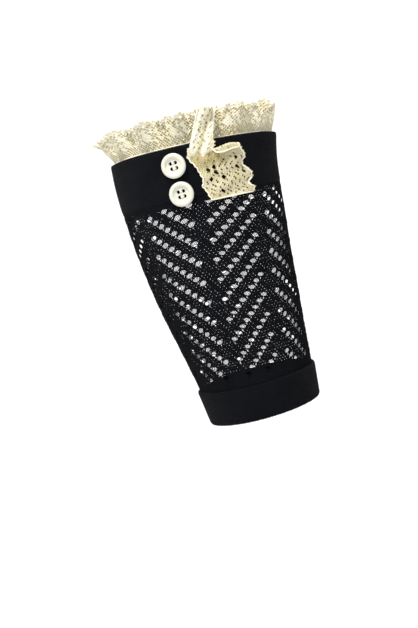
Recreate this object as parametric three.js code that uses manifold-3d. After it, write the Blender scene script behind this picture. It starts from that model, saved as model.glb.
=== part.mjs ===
// One knitted leg warmer in its worn shape, in millimetres, with +Z up and its front on the -Y side.
// The origin is on the tube's centre line, half way down the top cuff, where the leg holds the piece up.

import * as THREE from 'three';
import { mergeVertices } from 'three/addons/utils/BufferGeometryUtils.js';
import Module from 'manifold-3d';

const wasm = await Module();
wasm.setup();

const { clamp, degToRad, lerp, smoothstep } = THREE.MathUtils;

// Sections of the tube from its top edge down: distance along the cloth, centre, tilt in degrees and radius
const SECTIONS = [
  { down: 0.0, x: -1.9, z: 15.9, tilt: 11.7, radius: 54.5 },
  { down: 15.0, x: -0.1, z: 1.0, tilt: 12.1, radius: 53.3 },
  { down: 30.2, x: 2.8, z: -13.9, tilt: 12.5, radius: 52.2 },
  { down: 53.3, x: 8.3, z: -36.3, tilt: 13.0, radius: 50.6 },
  { down: 76.9, x: 14.8, z: -59.0, tilt: 13.6, radius: 48.1 },
  { down: 100.8, x: 22.1, z: -81.8, tilt: 14.2, radius: 45.2 },
  { down: 125.2, x: 30.0, z: -104.8, tilt: 14.8, radius: 41.8 },
  { down: 149.4, x: 37.8, z: -127.7, tilt: 15.3, radius: 38.7 },
  { down: 172.8, x: 44.2, z: -150.3, tilt: 15.9, radius: 36.6 },
];

// Shared sizes: the tube is a little flatter from front to back, and pieces stay apart by the gap
const DEPTH_RATIO = 0.97;
const GAP = 0.3;
const FULL_TURN = 360;

// The top cuff is plain knit, doubled, with its fold rounded at the top
const CUFF = { end: 32, wall: 2.2, foldHeight: 0.8, foldInset: 0.6, rows: 3, sides: 60 };

// The net runs from the cuff to the hem in two halves, which meet at plain strips on the left and right
const NET = { start: CUFF.end + GAP, end: 152.5, wall: 1.5, sideGap: 0.23, leastStrip: 1.5 };

// The hem is doubled knit that stands out from the net, most at its upper edge
const HEM = {
  sides: 48,
  rows: [
    { down: NET.end + GAP, proud: 0.8, inset: 1.2 },
    { down: 154.0, proud: 1.5, inset: 1.5 },
    { down: 160.0, proud: 1.3, inset: 1.5 },
    { down: 174.0, proud: 0.9, inset: 1.5 },
    { down: 175.2, proud: 0.3, inset: 1.0 },
  ],
};

// Eyelets stand in slanting lines, and lines that lean left and right take turns around the tube
const LACE_NET = {
  column: 4.5,
  panelColumns: 8,
  gapColumns: 2,
  panels: 4,
  lineRows: 4,
  firstLine: -2,
  lastLine: 8,
  firstRow: -1,
  lastRow: 34,
  firstCut: 2,
  lastCut: 5,
  eyeletWidth: 1.32,
  eyeletTop: 3.4,
  eyeletBottom: 3.0,
  frontStart: -96.1,
  twist: -0.13,
  twistFrom: 62,
};

// Rows of knitting lie further apart towards the hem, where the cloth is stretched lengthwise
const ROWS = { first: 38.4, pitch: 2.87, growth: 0.0073 };

// The lace frill is sewn inside the cuff's edge, gathered, and leans out most on the left
const FRILL = {
  length: 20,
  wall: 1.6,
  clearance: 0.6,
  lean: 17,
  leanLeft: 14,
  bend: 3,
  waves: 16,
  wavesShift: -1.68,
  swing: 3.6,
  swingGrowth: 0.8,
  scallops: 48,
  scallopDepth: 1.5,
  sidesPerScallop: 3,
  rows: [-5, 1, 7, 13],
  uneven: [
    { times: 2, size: 0.9, shift: 0.6 },
    { times: 5, size: 0.5, shift: 0 },
  ],
};

// The lace tab is one strip: its upper stretch hangs over the frill, and its lower one lies on the cuff
const TAB = {
  wall: 1.0,
  lift: 0.35,
  frillLift: 0.75,
  acrossUpper: 6,
  acrossLower: 10,
  curlFrom: 9,
  curlTo: 15,
};

// Upper stretch: distance below the cuff's edge, negative above it, and both edges in degrees
const TAB_UPPER = [
  { down: -18.6, left: 4.7, right: 14.9 },
  { down: -15.5, left: 3.9, right: 14.6 },
  { down: -12.4, left: 3.0, right: 14.1 },
  { down: -9.3, left: 1.9, right: 13.6 },
  { down: -6.2, left: 0.8, right: 13.0 },
  { down: -3.1, left: -0.2, right: 12.6 },
  { down: 0.0, left: -1.2, right: 12.4 },
  { down: 3.0, left: -2.3, right: 12.8 },
  { down: 5.6, left: -3.4, right: 12.2 },
];

// Lower stretch: the same columns, and how far its free upper edge curls away from the cuff
const TAB_LOWER = [
  { down: 5.9, left: -3.5, right: 28.6, curl: 2.6 },
  { down: 7.6, left: -4.1, right: 30.6, curl: 1.5 },
  { down: 10.5, left: -2.7, right: 32.2, curl: 0.4 },
  { down: 14.4, left: 0.4, right: 33.2, curl: 0.0 },
  { down: 18.0, left: 1.5, right: 31.2, curl: 0.0 },
  { down: 22.6, left: 3.5, right: 36.4, curl: 0.0 },
  { down: 26.5, left: 2.6, right: 37.0, curl: 0.0 },
  { down: 29.5, left: 4.2, right: 33.8, curl: 0.0 },
  { down: 33.0, left: 5.4, right: 37.4, curl: 0.0 },
  { down: 36.0, left: 6.8, right: 35.3, curl: 0.0 },
];

// Four-hole buttons with a raised rim and a sunken middle, sewn one above the other
const BUTTON = {
  radius: 7.5,
  thickness: 3,
  edge: 0.9,
  rim: 5.4,
  dish: 4.3,
  dishDepth: 1.0,
  shoulder: 0.2,
  sides: 28,
  holeRadius: 0.95,
  holeSides: 8,
  holeAcross: 3.1,
  holeUp: 3.2,
  holeLength: 9,
  turn: 3,
};
const BUTTONS = [
  { name: 'button_upper', down: 10.9, around: -13.4 },
  { name: 'button_lower', down: 28.1, around: -11.8 },
];

// Materials by their real cloth
const FINISHES = {
  knit: { color: 0x191a1e, roughness: 0.92, metalness: 0 },
  lace: { color: 0xe0dcbd, roughness: 0.85, metalness: 0 },
  button: { color: 0xf8faee, roughness: 0.25, metalness: 0 },
};

// Change of each column at each section, for smooth curves through the table
const SLOPES = SECTIONS.map((row, i) => {
  const before = SECTIONS[Math.max(i - 1, 0)];
  const after = SECTIONS[Math.min(i + 1, SECTIONS.length - 1)];
  const slope = (key) => (after[key] - before[key]) / (after.down - before.down);
  return { x: slope('x'), z: slope('z'), tilt: slope('tilt'), radius: slope('radius') };
});

// The section at any distance down, by cubic curves between the rows and straight on past both ends
function sectionAt(down) {
  const inside = clamp(down, SECTIONS[0].down, SECTIONS.at(-1).down);
  const next = Math.max(1, SECTIONS.findIndex((row) => row.down >= inside));
  const [from, to] = [SECTIONS[next - 1], SECTIONS[next]];
  const span = to.down - from.down;
  const t = (inside - from.down) / span;
  const past = down - inside;
  const value = (key) => {
    const start = from[key] * (1 + 2 * t) * (1 - t) ** 2;
    const end = to[key] * (3 - 2 * t) * t ** 2;
    const bend = span * t * (1 - t) * (SLOPES[next - 1][key] * (1 - t) - SLOPES[next][key] * t);
    const beyond = past * (past < 0 ? SLOPES[0] : SLOPES.at(-1))[key];
    return start + end + bend + beyond;
  };
  return { x: value('x'), z: value('z'), tilt: value('tilt'), radius: value('radius') };
}

// A point on the tube: distance down, degrees around from the front to the right, and distance out
function tubePoint(down, around, out) {
  const section = sectionAt(down);
  const tilt = degToRad(section.tilt);
  const angle = degToRad(around);
  const side = (section.radius + out) * Math.sin(angle);
  const front = (section.radius * DEPTH_RATIO + out) * Math.cos(angle);
  return new THREE.Vector3(section.x + side * Math.cos(tilt), -front, section.z + side * Math.sin(tilt));
}

// Cloth made of triangles between an outer and an inner skin, with a wall on every open edge
class Sheet {
  constructor() {
    this.places = [];
    this.numbers = new Map();
    this.faces = [];
  }

  // The vertex at a place, made once and shared by all faces that meet there
  at(across, down) {
    const key = `${across.toFixed(5)} ${down.toFixed(5)}`;
    if (!this.numbers.has(key)) {
      this.numbers.set(key, this.places.length);
      this.places.push({ across, down });
    }
    return this.numbers.get(key);
  }

  // A triangle, left out where two of its corners are the same vertex
  face(a, b, c) {
    if (a !== b && b !== c && c !== a) this.faces.push([a, b, c]);
  }

  quad(a, b, c, d) {
    this.face(a, b, c);
    this.face(a, c, d);
  }

  // Triangles between an upper and a lower chain of vertices, both from left to right
  join(upper, lower) {
    const across = (vertex) => this.places[vertex].across;
    let [i, j] = [0, 0];
    while (i < upper.length - 1 || j < lower.length - 1) {
      const lowerDone = j === lower.length - 1;
      const upperFirst = i < upper.length - 1 && (lowerDone || across(upper[i + 1]) <= across(lower[j + 1]));
      if (upperFirst) {
        this.face(upper[i], lower[j], upper[i + 1]);
        i += 1;
      } else {
        this.face(upper[i], lower[j], lower[j + 1]);
        j += 1;
      }
    }
  }

  // A grid of squares with a row for each distance down, closed round the tube or open at both sides
  grid(columns, downs, closed) {
    const vertex = (column, row) => this.at(closed ? column % columns : column, downs[row]);
    for (let row = 0; row < downs.length - 1; row += 1) {
      for (let column = 0; column < columns; column += 1) {
        this.quad(
          vertex(column, row),
          vertex(column, row + 1),
          vertex(column + 1, row + 1),
          vertex(column + 1, row),
        );
      }
    }
    return this;
  }

  // The closed solid, with each skin placed by a function of a place
  solid(outerSkin, innerSkin) {
    const count = this.places.length;
    const points = [outerSkin, innerSkin].flatMap((skin) => this.places.map((place) => skin(place)));
    const inner = this.faces.map(([a, b, c]) => [c + count, b + count, a + count]);
    const edges = this.faces.flatMap(([a, b, c]) => [[a, b], [b, c], [c, a]]);
    const used = new Set(edges.map(([a, b]) => `${a} ${b}`));
    const open = edges.filter(([a, b]) => !used.has(`${b} ${a}`));
    const walls = open.flatMap(([a, b]) => [[b, a, a + count], [b, a + count, b + count]]);
    const geometry = new THREE.BufferGeometry().setFromPoints(points);
    geometry.setIndex([...this.faces, ...inner, ...walls].flat());
    geometry.computeVertexNormals();
    return geometry;
  }
}

function mesh(name, geometry, finish) {
  const piece = new THREE.Mesh(geometry, new THREE.MeshStandardMaterial(FINISHES[finish]));
  piece.name = name;
  return piece;
}

// Top cuff: both skins draw together over the fold at the upper edge
function topCuff() {
  const downs = [0];
  for (let row = 0; row <= CUFF.rows; row += 1) {
    downs.push(lerp(CUFF.foldHeight, CUFF.end, row / CUFF.rows));
  }
  const skin = (out, foldOut) => ({ across, down }) =>
    tubePoint(down, (across * FULL_TURN) / CUFF.sides, down === 0 ? foldOut : out);
  const outer = skin(0, -CUFF.foldInset);
  const inner = skin(-CUFF.wall, CUFF.foldInset - CUFF.wall);
  return mesh('top_cuff', new Sheet().grid(CUFF.sides, downs, true).solid(outer, inner), 'knit');
}

// Bottom hem: the outer skin stands proud of the net and draws in at both edges
function bottomHem() {
  const skin = (out) => ({ across, down }) => {
    const row = HEM.rows.find((entry) => entry.down === down);
    return tubePoint(down, (across * FULL_TURN) / HEM.sides, out(row));
  };
  const downs = HEM.rows.map((row) => row.down);
  const outer = skin((row) => row.proud);
  const inner = skin((row) => -row.inset);
  return mesh('bottom_hem', new Sheet().grid(HEM.sides, downs, true).solid(outer, inner), 'knit');
}

const rowDown = (row) => ROWS.first + ROWS.pitch * row + ROWS.growth * row ** 2;

// Rows that a slanting line of eyelets has dropped at a place, counted in columns from a half's left side
function linesDrop(across) {
  const panelWidth = LACE_NET.panelColumns + LACE_NET.gapColumns;
  const panel = Math.floor(across / panelWidth);
  const margin = (LACE_NET.gapColumns + 1) / 2;
  const most = LACE_NET.panelColumns - 1;
  const walked = clamp(across - panel * panelWidth - margin, 0, most);
  return panel % 2 === 0 ? most - walked : walked;
}

// The places of a half's chains: plain ones at the panels' corners and gaps, and the cut columns
function netStations() {
  const panelWidth = LACE_NET.panelColumns + LACE_NET.gapColumns;
  const margin = (LACE_NET.gapColumns + 1) / 2;
  const stations = [{ across: 0, panel: 0, cut: false }];
  for (let panel = 0; panel < LACE_NET.panels; panel += 1) {
    const start = panel * panelWidth + margin;
    stations.push({ across: start, panel, cut: false });
    for (let column = LACE_NET.firstCut; column <= LACE_NET.lastCut; column += 1) {
      stations.push({ across: start + column, panel, cut: true });
    }
    stations.push({ across: start + LACE_NET.panelColumns - 1, panel, cut: false });
    stations.push({ across: (panel + 1) * panelWidth, panel, cut: false });
  }
  return stations;
}

// The six corners of an eyelet, a long hexagon with its points to the left and right
function eyelet(sheet, across, down) {
  const halfWidth = LACE_NET.eyeletWidth / 2;
  const height = lerp(LACE_NET.eyeletTop, LACE_NET.eyeletBottom, down / NET.end);
  const corner = (sideways, downwards) =>
    sheet.at(across + sideways * halfWidth, down + (downwards * height) / 2);
  return {
    left: corner(-1, 0),
    right: corner(1, 0),
    upperLeft: corner(-0.5, -1),
    upperRight: corner(0.5, -1),
    lowerLeft: corner(-0.5, 1),
    lowerRight: corner(0.5, 1),
  };
}

// One slanting line across a half as two chains, which part around each eyelet and meet between groups
function netLine(sheet, line, stations) {
  const holes = stations.map((station) => {
    const row = Math.round(linesDrop(station.across)) + line * LACE_NET.lineRows;
    const inside = row >= LACE_NET.firstRow && row <= LACE_NET.lastRow;
    return station.cut && inside ? eyelet(sheet, station.across, rowDown(row)) : null;
  });
  const [upper, lower] = [[], []];
  stations.forEach((station, i) => {
    const hole = holes[i];
    if (!hole) {
      const wanted = rowDown(linesDrop(station.across) + line * LACE_NET.lineRows);
      const down = wanted < NET.start + NET.leastStrip ? NET.start : wanted;
      const vertex = sheet.at(station.across, down > NET.end - NET.leastStrip ? NET.end : down);
      upper.push(vertex);
      lower.push(vertex);
      return;
    }
    const falling = station.panel % 2 === 1;
    const [isFirst, next] = [!holes[i - 1], holes[i + 1]];
    if (isFirst) (falling ? upper : lower).push(hole.left);
    if (falling) {
      upper.push(hole.upperLeft, hole.upperRight, hole.right);
      lower.push(hole.left, hole.lowerLeft, hole.lowerRight);
      if (next) sheet.quad(hole.right, hole.lowerRight, next.left, next.upperLeft);
    } else {
      upper.push(hole.left, hole.upperLeft, hole.upperRight);
      lower.push(hole.lowerLeft, hole.lowerRight, hole.right);
      if (next) sheet.quad(hole.upperRight, hole.right, next.lowerLeft, next.left);
    }
    if (!next) (falling ? lower : upper).push(hole.right);
  });
  return { upper, lower };
}

// Half of the net: strips of cloth between the lines, from the cuff's edge to the hem's
function netHalf(name, start) {
  const sheet = new Sheet();
  const stations = netStations();
  const edge = (down) => stations.map((station) => sheet.at(station.across, down));
  let above = edge(NET.start);
  for (let line = LACE_NET.firstLine; line <= LACE_NET.lastLine; line += 1) {
    const { upper, lower } = netLine(sheet, line, stations);
    sheet.join(above, upper);
    above = lower;
  }
  sheet.join(above, edge(NET.end));
  const columns = LACE_NET.panels * (LACE_NET.panelColumns + LACE_NET.gapColumns);
  const width = columns * LACE_NET.column - 2 * NET.sideGap;
  const skin = (out) => ({ across, down }) => {
    const turned = LACE_NET.twist * (down - LACE_NET.twistFrom);
    return tubePoint(down, start + NET.sideGap + (across / columns) * width + turned, out);
  };
  return mesh(name, sheet.solid(skin(0), skin(-NET.wall)), 'knit');
}

// The frill's gathers, uneven in width all the way round
function frillWave(around) {
  const angle = degToRad(around);
  const uneven = FRILL.uneven.map(({ times, size, shift }) => size * Math.sin(times * angle + shift));
  return Math.sin(FRILL.waves * angle + FRILL.wavesShift + uneven[0] + uneven[1]);
}

// Where the frill's outer skin lies, at a distance along its cloth above the cuff's edge
function frillAt(around, along) {
  const lean = degToRad(FRILL.lean - FRILL.leanLeft * Math.sin(degToRad(around)));
  const free = Math.max(along, 0);
  const bent = free - FRILL.bend * (1 - Math.exp(-free / FRILL.bend));
  const swing = FRILL.swing * (free / FRILL.length) ** FRILL.swingGrowth * frillWave(around);
  return {
    down: bent * (1 - Math.cos(lean)) - along,
    out: bent * Math.sin(lean) + swing - CUFF.wall - FRILL.clearance,
  };
}

// Lace frill: rows of cloth from the seam inside the cuff up to a scalloped edge
function laceFrill() {
  const columns = FRILL.scallops * FRILL.sidesPerScallop;
  const tip = FRILL.rows.length;
  const skin = (out) => ({ across, down: row }) => {
    const scallop = Math.abs(Math.sin((Math.PI * across) / FRILL.sidesPerScallop));
    const edge = FRILL.length - FRILL.scallopDepth * (1 - scallop);
    const around = (across * FULL_TURN) / columns;
    const place = frillAt(around, row === tip ? edge : FRILL.rows[row]);
    return tubePoint(place.down, around, place.out + out);
  };
  const rows = [...FRILL.rows.keys(), tip].reverse();
  return mesh('lace_frill', new Sheet().grid(columns, rows, true).solid(skin(0), skin(-FRILL.wall)), 'lace');
}

// A stretch of the tab between its two edges, with the rows of its table
function tabStretch(name, columns, table, place) {
  const skin = (out) => ({ across, down: row }) => {
    const { down, left, right, curl } = table[row];
    const around = lerp(left, right, across / columns);
    return place(down, around, curl ?? 0, out);
  };
  const rows = [...table.keys()];
  return mesh(name, new Sheet().grid(columns, rows, false).solid(skin(TAB.wall), skin(0)), 'lace');
}

// Upper stretch of the tab, which lies on the frill where that stands out further than the cuff
function tabUpper() {
  return tabStretch('lace_tab_upper', TAB.acrossUpper, TAB_UPPER, (down, around, curl, out) => {
    const frill = frillAt(around, -down);
    const place = down < 0 ? frill.down : down;
    const lift = down < 0 ? Math.max(TAB.lift, frill.out + TAB.frillLift) : TAB.lift;
    return tubePoint(place, around, lift + out);
  });
}

// Lower stretch of the tab, flat on the cuff but for the free part of its upper edge
function tabLower() {
  return tabStretch('lace_tab_lower', TAB.acrossLower, TAB_LOWER, (down, around, curl, out) =>
    tubePoint(down, around, TAB.lift + curl * smoothstep(around, TAB.curlFrom, TAB.curlTo) + out));
}

// A closed geometry as a solid that can be cut, with its shared vertices merged
function toManifold(geometry) {
  const bare = geometry.clone().deleteAttribute('normal').deleteAttribute('uv');
  const merged = mergeVertices(bare);
  const corners = merged.index.array;
  const kept = [];
  for (let i = 0; i < corners.length; i += 3) {
    const [a, b, c] = corners.slice(i, i + 3);
    if (a !== b && b !== c && c !== a) kept.push(a, b, c);
  }
  const vertProperties = Float32Array.from(merged.attributes.position.array);
  return new wasm.Manifold(new wasm.Mesh({ numProp: 3, vertProperties, triVerts: Uint32Array.from(kept) }));
}

// A button about its own axis, with its back on the plane Z = 0
function buttonGeometry() {
  const { radius, thickness, edge, rim, dish, dishDepth, shoulder } = BUTTON;
  const profile = [
    [0, 0],
    [radius - edge, 0],
    [radius, edge],
    [radius, thickness - edge],
    [radius - edge, thickness - shoulder],
    [rim, thickness],
    [dish, thickness - dishDepth],
    [0, thickness - dishDepth],
  ].map(([x, y]) => new THREE.Vector2(x, y));
  const blank = new THREE.LatheGeometry(profile, BUTTON.sides).rotateX(Math.PI / 2);
  let solid = toManifold(blank);
  for (const side of [-1, 1]) {
    for (const end of [-1, 1]) {
      const { holeRadius, holeLength, holeSides } = BUTTON;
      const drill = new THREE.CylinderGeometry(holeRadius, holeRadius, holeLength, holeSides);
      drill.rotateX(Math.PI / 2);
      drill.translate((side * BUTTON.holeAcross) / 2, (end * BUTTON.holeUp) / 2, 0);
      solid = solid.subtract(toManifold(drill));
    }
  }
  const { vertProperties, triVerts } = solid.getMesh();
  const geometry = new THREE.BufferGeometry();
  geometry.setAttribute('position', new THREE.BufferAttribute(Float32Array.from(vertProperties), 3));
  geometry.setIndex(new THREE.BufferAttribute(Uint32Array.from(triVerts), 1));
  geometry.computeVertexNormals();
  return geometry;
}

// A button on the cuff: its back just off the cloth, square to it and turned with the knitting
function button({ name, down, around }) {
  const step = 1;
  const centre = tubePoint(down, around, 0);
  const right = tubePoint(down, around + step, 0).sub(tubePoint(down, around - step, 0)).normalize();
  const slope = tubePoint(down - step, around, 0).sub(tubePoint(down + step, around, 0)).normalize();
  const out = right.clone().cross(slope).normalize();
  const up = out.clone().cross(right);
  const piece = mesh(name, buttonGeometry(), 'button');
  piece.position.copy(centre).addScaledVector(out, GAP);
  piece.quaternion.setFromRotationMatrix(new THREE.Matrix4().makeBasis(right, up, out));
  piece.rotateZ(degToRad(BUTTON.turn));
  return piece;
}

const backStart = LACE_NET.frontStart + FULL_TURN / 2;
const legWarmer = new THREE.Group();
legWarmer.add(
  laceFrill(),
  topCuff(),
  netHalf('net_front', LACE_NET.frontStart),
  netHalf('net_back', backStart),
  bottomHem(),
  tabUpper(),
  tabLower(),
  ...BUTTONS.map(button),
);

export default legWarmer;
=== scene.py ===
"""Dresses one worn leg warmer: pointelle knit tube, plain cuff and hem, lace frill and tab, two buttons.

Lengths in the classes are in millimetres, in the frame of the part: +Z up, the front on the -Y side.
"""

import logging
import math
from dataclasses import dataclass, field
from enum import Enum
from typing import Callable

import bpy
import numpy as np
from mathutils import Matrix, Vector


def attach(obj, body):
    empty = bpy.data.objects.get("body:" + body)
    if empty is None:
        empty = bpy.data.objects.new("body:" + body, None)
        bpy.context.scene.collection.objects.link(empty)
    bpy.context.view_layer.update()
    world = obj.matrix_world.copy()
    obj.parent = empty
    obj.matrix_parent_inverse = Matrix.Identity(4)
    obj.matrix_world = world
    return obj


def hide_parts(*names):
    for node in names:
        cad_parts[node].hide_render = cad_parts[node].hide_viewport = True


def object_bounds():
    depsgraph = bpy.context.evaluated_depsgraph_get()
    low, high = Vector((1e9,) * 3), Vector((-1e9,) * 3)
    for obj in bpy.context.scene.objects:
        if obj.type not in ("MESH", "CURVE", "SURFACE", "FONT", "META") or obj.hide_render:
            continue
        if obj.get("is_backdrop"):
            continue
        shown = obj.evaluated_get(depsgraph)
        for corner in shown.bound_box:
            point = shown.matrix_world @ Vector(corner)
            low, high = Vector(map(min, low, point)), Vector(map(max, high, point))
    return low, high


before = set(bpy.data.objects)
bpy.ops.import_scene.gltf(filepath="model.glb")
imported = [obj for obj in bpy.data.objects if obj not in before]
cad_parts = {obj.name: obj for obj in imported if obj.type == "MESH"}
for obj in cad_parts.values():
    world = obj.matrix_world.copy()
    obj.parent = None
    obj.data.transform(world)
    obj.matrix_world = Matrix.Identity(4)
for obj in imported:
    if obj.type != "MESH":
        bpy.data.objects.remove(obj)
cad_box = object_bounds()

MM = 0.001
FULL_TURN = 360.0
BODY = "root"
UV_MAP = "cloth"
NET_UV = (0.5, 1.0)
# Name of the point attribute that holds painted shade, deepest in pits, folds and under the tab's roll
PAINTED_SHADE = "depth"

log = logging.getLogger("leg_warmer")

Array = np.ndarray
Material = bpy.types.Material
Piece = bpy.types.Object
Socket = bpy.types.NodeSocket
Tree = bpy.types.NodeTree
Surface = Callable[[Array, Array, Array], Array]
PaintedShadeMap = Callable[[Array, Array], Array]
Links = dict[str | int, object]


class Slot(Enum):
    """Material slots of the record, one for each kind of finish."""

    KNIT = "knit_black"
    LACE = "lace_cream"
    BUTTON = "button_ivory"


class Seed(Enum):
    """What varies by chance, each with a seed of its own."""

    PINHOLE = 1.0
    LACE_CELL = 3.0
    CORNER_ACROSS = 5.0
    CORNER_ALONG = 6.0
    EYELET_HEIGHT = 7.0
    EYELET_WIDTH = 9.0
    EDGE_STITCH = 11.0


@dataclass(frozen=True)
class Stitch:
    """The middle of a cell of lace: its share of the cell, its depth, its painted shade and whether it is
    open.
    """

    size: float
    drop: float
    painted_shade: float
    is_open: bool


class Work(Enum):
    """Kinds of cell in a lace chart, by how closely the threads are worked."""

    # The third number of each stitch is the shade painted at the cell's middle
    CLOTH = Stitch(0.5, 0.6, 0.05, False)
    PIT = Stitch(0.82, 1.2, 0.64, False)
    SLIT = Stitch(0.66, 1.0, 1.0, True)
    HOLE = Stitch(0.8, 1.0, 0.8, True)
    GAP = Stitch(1.05, 1.0, 0.8, True)


CHART_MARKS = {".": Work.CLOTH, "o": Work.PIT, "s": Work.SLIT, "O": Work.HOLE, "@": Work.GAP}


def chart_rows(drawing: str) -> tuple[str, ...]:
    """The rows of a lace chart, one mark for each cell."""
    return tuple(drawing.split())


# One repeat of the frill, from inside the cuff to the scallops
RUFFLE_CHART = chart_rows("""
........
........
........
........
oooooooo
OoOoOoOo
oooooooo
oOoOoOoO
oooooooo
o.ooo.oo
o.o...o.
oo..oo..
o....o.o
oo..oo.o
.oo.oo.o
o..o..oo
oo..oo.o
o.oo.oo.
oooooooo
oOoOoOoO
........
........
""")

# The hanging stretch of the tab, from its upper end to the fold
FALL_CHART = chart_rows("""
.......
..o.o..
.......
.o...o.
..O.o..
.o...O.
o..o..o
.o...o.
..o.O..
.......
o.o.o.o
.O...o.
..o.o..
.......
.o.o.o.
..O....
.o...o.
o..o..o
..o.o..
.......
.o.O.o.
..o....
.....o.
.......
.......
.......
""")

# The lying end of the tab, from its rolled edge down
END_CHART = chart_rows("""
.................
........o...o....
.................
..........o......
.......o.........
...o.............
...o.......o.....
......o...o......
......o..........
..o..o..o........
..o.....o....s...
....o......s.....
...o..s..s...@.s.
.....o..s......s.
...o....s.s.s....
.....@.O.O.O..s.s
...@.............
..s..O.O.O.O.@.s.
.....@.........s.
...s..s..s..s.s..
o....s..s..s..@..
..@...@.s..s.....
.s..s..s..s..s..s
.s..s..s..s..s..s
s..s..s..s..s..s.
s..s..s..s..s..s.
..s..s..s..s..s..
..s.....s..s..s..
.o..s@.s..s..s..s
.o.....s..s..s..s
...o..s..s..s....
.................
""")


def smooth_step(low: float, high: float, value: Array) -> Array:
    """A smooth rise from 0 at low to 1 at high."""
    t = np.clip((value - low) / (high - low), 0, 1)
    return t * t * (3 - 2 * t)


def chance(first: Array, second: Array | float, seed: Seed, low: float, high: float) -> Array:
    """Numbers spread evenly from low to high that depend on two numbers and a seed alone."""
    mixed = np.sin(first * 12.9898 + second * 78.233 + seed.value * 37.719) * 43758.5453
    return low + (high - low) * (mixed - np.floor(mixed))


def bell(value: Array, middle: float, spread: float) -> Array:
    """A soft hump that is 1 at its middle."""
    return np.exp(-(((value - middle) / spread) ** 2))


@dataclass(frozen=True)
class Ripple:
    """A wave in cloth: its height, how fast it turns with two measures of a place, and its shift."""

    height: float
    first: float
    second: float = 0.0
    shift: float = 0.0

    def at(self, first: Array, second: Array | float = 0.0) -> Array:
        """The wave's height at a place."""
        return self.height * np.sin(self.first * first + self.second * second + self.shift)


def rippled(ripples: tuple[Ripple, ...], first: Array, second: Array | float = 0.0) -> Array:
    """The height of several waves together."""
    return sum(ripple.at(first, second) for ripple in ripples)


def smooth_curve(places: Array, values: Array, at: Array) -> Array:
    """A cubic curve through a table, going straight on past both ends.

    Args:
        places: The table's places, rising.
        values: The value at each place.
        at: Where the curve is wanted.

    Returns:
        The values there.
    """
    before = np.maximum(np.arange(len(places)) - 1, 0)
    after = np.minimum(np.arange(len(places)) + 1, len(places) - 1)
    slopes = (values[after] - values[before]) / (places[after] - places[before])
    inside = np.clip(at, places[0], places[-1])
    end = np.clip(np.searchsorted(places, inside), 1, len(places) - 1)
    start = end - 1
    span = places[end] - places[start]
    t = (inside - places[start]) / span
    curve = values[start] * (1 + 2 * t) * (1 - t) ** 2 + values[end] * (3 - 2 * t) * t**2
    curve = curve + span * t * (1 - t) * (slopes[start] * (1 - t) - slopes[end] * t)
    past = at - inside
    return curve + past * np.where(past < 0, slopes[0], slopes[-1])


# The worn tube


@dataclass(frozen=True)
class Section:
    """One section of the tube: distance down the cloth, centre, sideways tilt in degrees, radius."""

    down: float
    x: float
    z: float
    tilt: float
    radius: float


@dataclass(frozen=True)
class TubeForm:
    """The worn tube that all cloth lies on, a little flatter from front to back."""

    depth_ratio: float = 0.97
    strays: tuple[Ripple, ...] = (Ripple(0.2, 3, 0.05), Ripple(0.12, 7, -0.09, 1.0))
    sections: tuple[Section, ...] = (
        Section(0.0, -1.9, 15.9, 11.7, 54.5),
        Section(15.0, -0.1, 1.0, 12.1, 53.3),
        Section(30.2, 2.8, -13.9, 12.5, 52.2),
        Section(53.3, 8.3, -36.3, 13.0, 50.6),
        Section(76.9, 14.8, -59.0, 13.6, 48.1),
        Section(100.8, 22.1, -81.8, 14.2, 45.2),
        Section(125.2, 30.0, -104.8, 14.8, 41.8),
        Section(149.4, 37.8, -127.7, 15.3, 38.7),
        Section(172.8, 44.2, -150.3, 15.9, 36.6),
    )

    def value(self, name: str, down: Array) -> Array:
        """One column of the table at any distance down."""
        table = np.array([(section.down, getattr(section, name)) for section in self.sections])
        return smooth_curve(*table.T, down)

    def stray(self, down: Array, around: Array) -> Array:
        """How far the cloth strays from the plain form, because worn knit never lies quite even."""
        return rippled(self.strays, np.radians(around), down)

    def points(self, down: Array, around: Array, out: Array) -> Array:
        """Points on the tube.

        Args:
            down: Distance down the cloth from the cuff's upper edge.
            around: Degrees around, from the front to the right.
            out: Distance out from the tube's outer face.

        Returns:
            One row of x, y and z for each point.
        """
        tilt = np.radians(self.value("tilt", down))
        angle = np.radians(around)
        radius = self.value("radius", down)
        stand = out + self.stray(down, around)
        side = (radius + stand) * np.sin(angle)
        front = (radius * self.depth_ratio + stand) * np.cos(angle)
        x = self.value("x", down) + side * np.cos(tilt)
        z = self.value("z", down) + side * np.sin(tilt)
        return np.stack(np.broadcast_arrays(x, -front, z), axis=-1)


TUBE = TubeForm()


# Meshes


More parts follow.
